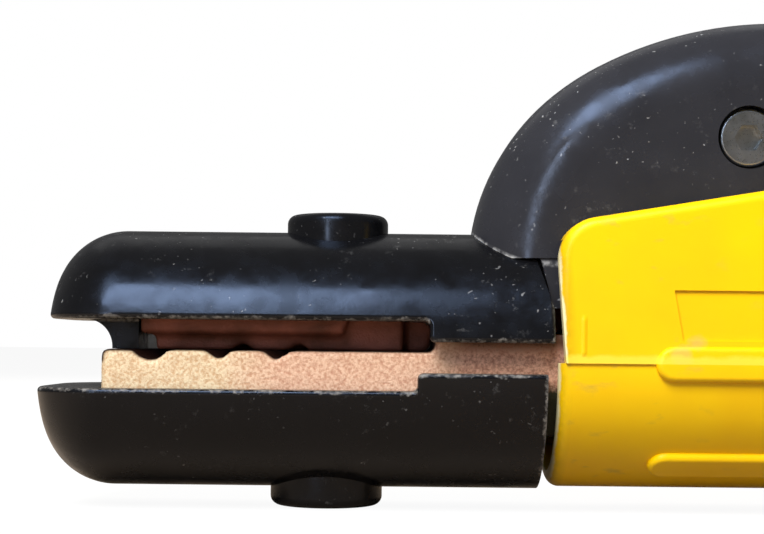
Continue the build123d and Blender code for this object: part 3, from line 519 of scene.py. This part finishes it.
def makeYellowNylon(name, shell):
    # shell: where its front edge is, how far it leans back at the seam over what height, and whether marked
    material, add = newMaterial(name)
    point = add("ShaderNodeTexCoord", out="Object")
    along = add("ShaderNodeSeparateXYZ", {"Vector": point}, "X")
    height = add("ShaderNodeSeparateXYZ", {"Vector": point}, "Z")
    blotch = add("ShaderNodeTexNoise", {
        "Vector": point, "Scale": perLump(yellowNylon["blotchMm"]), "Detail": 4,
    })
    share = add("ShaderNodeMapRange", {"Value": blotch, "From Min": 0.35, "From Max": 0.7})
    colour = add("ShaderNodeMix", {
        0: share, 6: srgb(yellowNylon["yellow"]), 7: srgb(yellowNylon["deep"]),
    }, 2, data_type="RGBA")

    # Front edge: a pale strip, rubbed and partly painted as highlight of the lit end face, with a line of
    # painted shade behind it
    patchy = add("ShaderNodeTexNoise", {
        "Vector": point, "Scale": perLump(yellowNylon["patchMm"]), "Detail": 5, "Roughness": 0.65,
    })
    front, seamFront = shell["frontX"] * mm, (shell["frontX"] + shell["leanMm"]) * mm
    leaning = add("ShaderNodeMapRange", {
        "Value": height, "From Max": shell["leanHeight"] * mm, "To Min": seamFront, "To Max": front,
    })
    behind = add("ShaderNodeMath", {0: along, 1: leaning}, operation="SUBTRACT")
    start, end = yellowNylon["edgeShadeMm"]
    edgeShade = add("ShaderNodeMapRange", {
        "Value": behind, "From Min": start * mm, "From Max": end * mm, "To Max": 0.5,
    })
    broken = add("ShaderNodeMapRange", {"Value": patchy, "From Min": 0.25, "From Max": 0.6, "To Min": 0.3})
    share = add("ShaderNodeMath", {0: edgeShade, 1: broken}, operation="MULTIPLY")
    colour = add("ShaderNodeMix", {0: share, 6: colour, 7: srgb(yellowNylon["shade"])}, 2, data_type="RGBA")
    least, most = yellowNylon["edgeMm"]
    reach = add("ShaderNodeMapRange", {
        "Value": patchy, "From Min": 0.3, "From Max": 0.7, "To Min": least * mm, "To Max": most * mm,
    })
    reach = add("ShaderNodeMath", {0: reach, 1: behind}, operation="SUBTRACT")
    edge = add("ShaderNodeMapRange", {"Value": reach, "From Max": 0.25 * mm, "To Max": 0.85})
    colour = add("ShaderNodeMix", {0: edge, 6: colour, 7: srgb(yellowNylon["cream"])}, 2, data_type="RGBA")

    # Grime in streaks along the grip, fading away from the jaws
    stretched = add("ShaderNodeMapping", {"Vector": point, "Scale": yellowNylon["smearStretch"]})
    smear = add("ShaderNodeTexNoise", {
        "Vector": stretched, "Scale": perLump(yellowNylon["smearMm"]), "Detail": 5,
    })
    smear = add("ShaderNodeMapRange", {"Value": smear, "From Min": 0.62, "From Max": 0.76})
    start, end = yellowNylon["smearFadesX"]
    near = add("ShaderNodeMapRange", {
        "Value": along, "From Min": start * mm, "From Max": end * mm, "To Min": 0.1, "To Max": 0.3,
    })
    grimeAndGapShade = add("ShaderNodeMath", {0: smear, 1: near}, operation="MULTIPLY")
    colour = add("ShaderNodeMix", {0: grimeAndGapShade, 6: colour, 7: srgb(yellowNylon["grimeAndGapShade"])}, 2, data_type="RGBA")
    wave = add("ShaderNodeTexNoise", {
        "Vector": point, "Scale": perLump(yellowNylon["waveMm"]), "Detail": 2,
    })
    skin = add("ShaderNodeTexNoise", {
        "Vector": point, "Scale": perLump(yellowNylon["skinMm"]), "Detail": 3,
    })
    normal = add("ShaderNodeBump", {"Height": wave, "Distance": yellowNylon["waveDepthMm"] * mm})
    normal = add("ShaderNodeBump", {
        "Height": skin, "Distance": yellowNylon["skinDepthMm"] * mm, "Normal": normal,
    })
    if shell["marked"]:
        # Two rubbed-in smudges, a painted highlight in a wavy band above the seam, and a short upright mould
        # mark
        flat = add("ShaderNodeMapping", {"Vector": point, "Scale": (1, 0, 1)})
        for x, z, size in yellowNylon["smudges"]:
            centre = (x * mm, 0, z * mm)
            away = add("ShaderNodeVectorMath", {0: flat, 1: centre}, "Value", operation="DISTANCE")
            ragged = add("ShaderNodeMath", {0: patchy, 1: 3.0 * mm, 2: away}, operation="MULTIPLY_ADD")
            share = add("ShaderNodeMapRange", {
                "Value": ragged, "From Min": (size + 1.8) * mm, "From Max": (size + 0.6) * mm, "To Max": 0.6,
            })
            colour = add("ShaderNodeMix", {
                0: share, 6: colour, 7: srgb(yellowNylon["smudge"]),
            }, 2, data_type="RGBA")
        # Painted highlight along the upper shell just above the seam
        wavy = add("ShaderNodeMath", {0: patchy, 1: 1.6 * mm, 2: height}, operation="MULTIPLY_ADD")
        start, end = yellowNylon["seamHighlightZ"]
        seamHighlight = add("ShaderNodeMapRange", {
            "Value": wavy, "From Min": start * mm, "From Max": end * mm, "To Max": 0.6,
        })
        colour = add("ShaderNodeMix", {
            0: seamHighlight, 6: colour, 7: srgb(yellowNylon["seamHighlight"]),
        }, 2, data_type="RGBA")
        fromMark = add("ShaderNodeMath", {0: along, 1: yellowNylon["markX"] * mm}, operation="SUBTRACT")
        fromMark = add("ShaderNodeMath", {0: fromMark}, operation="ABSOLUTE")
        ridge = add("ShaderNodeMapRange", {"Value": fromMark, "From Min": 0.5 * mm, "From Max": 0.1 * mm})
        low, high = yellowNylon["markZ"]
        foot = add("ShaderNodeMapRange", {
            "Value": height, "From Min": low * mm, "From Max": (low + 0.6) * mm,
        })
        head = add("ShaderNodeMapRange", {
            "Value": height, "From Min": high * mm, "From Max": (high - 0.9) * mm,
        })
        ridge = add("ShaderNodeMath", {0: ridge, 1: foot}, operation="MULTIPLY")
        ridge = add("ShaderNodeMath", {0: ridge, 1: head}, operation="MULTIPLY")
        normal = add("ShaderNodeBump", {
            "Height": ridge, "Distance": yellowNylon["markHeightMm"] * mm, "Normal": normal,
        })
    roughness = add("ShaderNodeMapRange", {
        "Value": blotch, "From Min": 0.3, "From Max": 0.7, "To Min": 0.34, "To Max": 0.46,
    })
    surface = add("ShaderNodeBsdfPrincipled", {
        "Base Color": colour, "Roughness": roughness, "IOR": 1.53, "Specular IOR Level": 0.35,
        "Normal": normal,
    })
    add("ShaderNodeOutputMaterial", {"Surface": surface})
    return material


# Moulded rubber: dull black with a grey bloom
mouldedRubber = {
    "black": "#141416",
    "bloom": "#303035",
    "bloomMm": 5,
    "roughness": (0.55, 0.75),
    "skinMm": 0.35,
    "skinDepthMm": 0.02,
}


def makeRubber():
    material, add = newMaterial("mouldedRubber")
    point = add("ShaderNodeTexCoord", out="Object")
    bloom = add("ShaderNodeTexNoise", {
        "Vector": point, "Scale": perLump(mouldedRubber["bloomMm"]), "Detail": 4,
    })
    share = add("ShaderNodeMapRange", {"Value": bloom, "From Min": 0.4, "From Max": 0.75})
    colour = add("ShaderNodeMix", {
        0: share, 6: srgb(mouldedRubber["black"]), 7: srgb(mouldedRubber["bloom"]),
    }, 2, data_type="RGBA")
    low, high = mouldedRubber["roughness"]
    roughness = add("ShaderNodeMapRange", {
        "Value": bloom, "From Min": 0.3, "From Max": 0.7, "To Min": low, "To Max": high,
    })
    skin = add("ShaderNodeTexNoise", {
        "Vector": point, "Scale": perLump(mouldedRubber["skinMm"]), "Detail": 2,
    })
    normal = add("ShaderNodeBump", {"Height": skin, "Distance": mouldedRubber["skinDepthMm"] * mm})
    surface = add("ShaderNodeBsdfPrincipled", {
        "Base Color": colour, "Roughness": roughness, "IOR": 1.52, "Normal": normal,
    })
    add("ShaderNodeOutputMaterial", {"Surface": surface})
    return material


# Turned and rolled metals of the small parts: fine tool marks under a faint cloud of tarnish
metals = {
    "zincPlatedSteel": {"bright": "#C9C9C4", "tarnish": "#A2A29A", "roughness": 0.32, "markMm": 0.20},
    "groundSteel": {"bright": "#BDBDBD", "tarnish": "#9E9E9E", "roughness": 0.22, "markMm": 0.15},
    "oiledSpringSteel": {"bright": "#6E6E70", "tarnish": "#4B4B4E", "roughness": 0.35, "markMm": 0.30},
    "blackOxideSteel": {"bright": "#2E2E31", "tarnish": "#1A1A1C", "roughness": 0.42, "markMm": 0.20},
    "rolledSheetCopper": {"bright": "#D9936F", "tarnish": "#B8714F", "roughness": 0.30, "markMm": 0.25},
    "turnedBrass": {"bright": "#D9B45C", "tarnish": "#B08A3A", "roughness": 0.28, "markMm": 0.20},
}
metalSkin = {
    "tarnishMm": 3,
    "markDepthMm": 0.01,
}


def makeMetal(name):
    metal = metals[name]
    material, add = newMaterial(name)
    point = add("ShaderNodeTexCoord", out="Object")
    cloud = add("ShaderNodeTexNoise", {
        "Vector": point, "Scale": perLump(metalSkin["tarnishMm"]), "Detail": 4,
    })
    share = add("ShaderNodeMapRange", {"Value": cloud, "From Min": 0.3, "From Max": 0.7})
    colour = add("ShaderNodeMix", {
        0: share, 6: srgb(metal["bright"]), 7: srgb(metal["tarnish"]),
    }, 2, data_type="RGBA")
    marks = add("ShaderNodeTexNoise", {"Vector": point, "Scale": perLump(metal["markMm"]), "Detail": 3})
    gloss = metal["roughness"]
    roughness = add("ShaderNodeMapRange", {
        "Value": marks, "From Min": 0.3, "From Max": 0.7, "To Min": gloss - 0.06, "To Max": gloss + 0.08,
    })
    normal = add("ShaderNodeBump", {"Height": marks, "Distance": metalSkin["markDepthMm"] * mm})
    surface = add("ShaderNodeBsdfPrincipled", {
        "Base Color": colour, "Metallic": 1.0, "Roughness": roughness, "Normal": normal,
    })
    add("ShaderNodeOutputMaterial", {"Surface": surface})
    return material


# Natural nylon of the bush and washers: milky, slightly yellowed
naturalNylon = {
    "milky": "#E9E4D6",
    "yellowed": "#D8D0BC",
    "cloudMm": 4,
    "roughness": (0.38, 0.5),
    "skinMm": 0.5,
    "skinDepthMm": 0.01,
}


def makeNaturalNylon():
    material, add = newMaterial("naturalNylon")
    point = add("ShaderNodeTexCoord", out="Object")
    cloud = add("ShaderNodeTexNoise", {
        "Vector": point, "Scale": perLump(naturalNylon["cloudMm"]), "Detail": 3,
    })
    colour = add("ShaderNodeMix", {
        0: cloud, 6: srgb(naturalNylon["milky"]), 7: srgb(naturalNylon["yellowed"]),
    }, 2, data_type="RGBA")
    low, high = naturalNylon["roughness"]
    roughness = add("ShaderNodeMapRange", {
        "Value": cloud, "From Min": 0.3, "From Max": 0.7, "To Min": low, "To Max": high,
    })
    skin = add("ShaderNodeTexNoise", {
        "Vector": point, "Scale": perLump(naturalNylon["skinMm"]), "Detail": 3,
    })
    normal = add("ShaderNodeBump", {"Height": skin, "Distance": naturalNylon["skinDepthMm"] * mm})
    surface = add("ShaderNodeBsdfPrincipled", {
        "Base Color": colour, "Roughness": roughness, "IOR": 1.53, "Normal": normal,
    })
    add("ShaderNodeOutputMaterial", {"Surface": surface})
    return material


# Where the covers' rims and rear edges are, and which way is inwards from the rims: the places that wear
covers = {
    "upper": {"jawRim": 6.2, "neckRim": 3.0, "stepX": -112.3, "side": 1, "rearX": -92.9},
    "lower": {"jawRim": -4.6, "neckRim": -1.8, "stepX": -114.1, "side": -1, "rearX": -94.0},
}
# Where the shells' front edges are, which are pale from rubbing and painted highlight, with painted shade
# behind
shells = {
    "upper": {"frontX": -92.5, "leanMm": 1.2, "leanHeight": 15.2, "marked": True},
    "lower": {"frontX": -92.3, "leanMm": 0.0, "leanHeight": 1.0, "marked": False},
}
paint("upper_jaw_cover", makePhenolic("phenolicUpperCover", covers["upper"]))
paint("lower_jaw_cover", makePhenolic("phenolicLowerCover", covers["lower"]))
paint("lever_guard", makePhenolic("phenolicGuard", specks=0.75, saddle=21.05, hazed=True))
screwHeads = makePhenolic("phenolicScrewHead", specks=0.25)
paint("handle_upper_shell", makeYellowNylon("nylonUpperShell", shells["upper"]))
paint("handle_lower_shell", makeYellowNylon("nylonLowerShell", shells["lower"]))
rubber = makeRubber()
platedSteel = makeMetal("zincPlatedSteel")
groundSteel = makeMetal("groundSteel")
springSteel = makeMetal("oiledSpringSteel")
blackSteel = makeMetal("blackOxideSteel")
sheetCopper = makeMetal("rolledSheetCopper")
brass = makeMetal("turnedBrass")
milkyNylon = makeNaturalNylon()
finishes = (
    (screwHeads, ("upper_cover_screw_head", "lower_cover_screw_head")),
    (rubber, ("cable_sleeve", "open_stop_pad")),
    (platedSteel, ("upper_cover_screw_stud", "lower_cover_screw_stud", "guard_screw", "guard_nut")),
    (platedSteel, ("lower_spring_seat", "upper_spring_seat", "front_shell_screws", "rear_shell_screws")),
    (groundSteel, ("pivot_pin",)),
    (springSteel, ("pivot_retaining_rings",)),
    (blackSteel, ("front_set_screw", "rear_set_screw")),
    (sheetCopper, ("cable_pressure_plate",)),
    (brass, ("front_shell_inserts", "rear_shell_inserts")),
    (milkyNylon, ("pivot_bush", "pivot_washers")),
)
for finish, nodes in finishes:
    for node in nodes:
        paint(node, finish)
print("materials on")


# The two jaw castings: the machined shape given the soft edges and pebbled skin that a sand mould leaves
casting = {
    "mergeMm": 0.005,
    "skinVoxelMm": 0.55,
    "rounding": 3,
    "pebbleMm": 0.9,
    "pebbleHeightMm": 0.10,
}


def makeCasting(node, name, body, finish):
    source = cad[node]
    piece = bpy.data.objects.new(name, source.data.copy())
    bpy.context.scene.collection.objects.link(piece)
    grab(piece)
    bpy.ops.object.mode_set(mode="EDIT")
    bpy.ops.mesh.select_all(action="SELECT")
    bpy.ops.mesh.remove_doubles(threshold=casting["mergeMm"] * mm)
    bpy.ops.object.mode_set(mode="OBJECT")
    applyModifier(piece, "REMESH", mode="VOXEL", voxel_size=casting["skinVoxelMm"] * mm)
    applyModifier(piece, "SMOOTH", factor=0.5, iterations=casting["rounding"])
    pebbles = bpy.data.textures.new(name + "Pebbles", "CLOUDS")
    pebbles.noise_scale = casting["pebbleMm"] * mm
    applyModifier(piece, "DISPLACE", texture=pebbles, texture_coords="LOCAL",
                  strength=casting["pebbleHeightMm"] * mm, mid_level=0.5)
    grab(piece)
    bpy.ops.object.shade_smooth()
    piece.data.materials.clear()
    piece.data.materials.append(finish)
    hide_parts(node)
    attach(piece, body)
    print(name, len(piece.data.polygons), "faces")


makeCasting("jaw_body", "lowerJawCasting", "handle", makeCastCopper())
makeCasting("upper_jaw", "upperJawCasting", "lever", makeBrownedAndShadedCopper())


# Closing spring: an open coil of round wire with its ends ground flat on the two seats
spring = {
    "seatMm": 1.2,
    "radiusMm": 6.0,
    "wireMm": 0.9,
    "turns": 6,
    "sides": 12,
    "steps": 28,
    "mergeMm": 0.002,
    "keep": 0.56,
}


def makeSpring():
    lowerSeat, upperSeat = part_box("lower_spring_seat"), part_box("upper_spring_seat")
    middle = (lowerSeat[0].x + lowerSeat[1].x) / 2
    foot = lowerSeat[0].z + spring["seatMm"] * mm
    top = upperSeat[1].z - spring["seatMm"] * mm
    bpy.ops.object.select_all(action="DESELECT")
    bpy.ops.mesh.primitive_circle_add(
        vertices=spring["sides"], radius=spring["wireMm"] * mm, location=(middle, 0, foot),
        rotation=(radians(90), 0, 0),
    )
    piece = bpy.context.object
    piece.name = "closingSpringCoil"
    bpy.ops.object.transform_apply(location=False, rotation=True, scale=False)
    bpy.ops.object.mode_set(mode="EDIT")
    bpy.ops.mesh.select_all(action="SELECT")
    bpy.ops.transform.translate(value=(spring["radiusMm"] * mm, 0, 0))
    bpy.ops.object.mode_set(mode="OBJECT")
    pitch = (top - foot) / spring["turns"]
    applyModifier(piece, "SCREW", axis="Z", screw_offset=pitch, iterations=spring["turns"],
                  steps=spring["steps"], render_steps=spring["steps"], use_smooth_shade=True)
    grab(piece)
    bpy.ops.object.transform_apply(location=True, rotation=False, scale=False)
    bpy.ops.object.mode_set(mode="EDIT")
    for height, normal in ((foot, (0, 0, -1)), (top, (0, 0, 1))):
        bpy.ops.mesh.select_all(action="SELECT")
        bpy.ops.mesh.bisect(plane_co=(0, 0, height), plane_no=normal, use_fill=True, clear_outer=True)
    bpy.ops.mesh.select_all(action="SELECT")
    bpy.ops.mesh.remove_doubles(threshold=spring["mergeMm"] * mm)
    bpy.ops.mesh.select_all(action="DESELECT")
    bpy.ops.mesh.select_mode(type="EDGE")
    bpy.ops.mesh.select_non_manifold(
        use_wire=False, use_multi_face=False, use_non_contiguous=False, use_verts=False,
    )
    bpy.ops.mesh.edge_face_add()
    bpy.ops.mesh.select_all(action="SELECT")
    bpy.ops.mesh.normals_make_consistent(inside=False)
    bpy.ops.object.mode_set(mode="OBJECT")
    bpy.ops.object.shade_smooth_by_angle(angle=radians(40))
    piece.data.materials.append(springSteel)
    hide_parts("closing_spring")
    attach(piece, "handle")
    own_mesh(piece)
    print(piece.name, len(piece.data.polygons), "faces")


makeSpring()
print("castings and spring made")
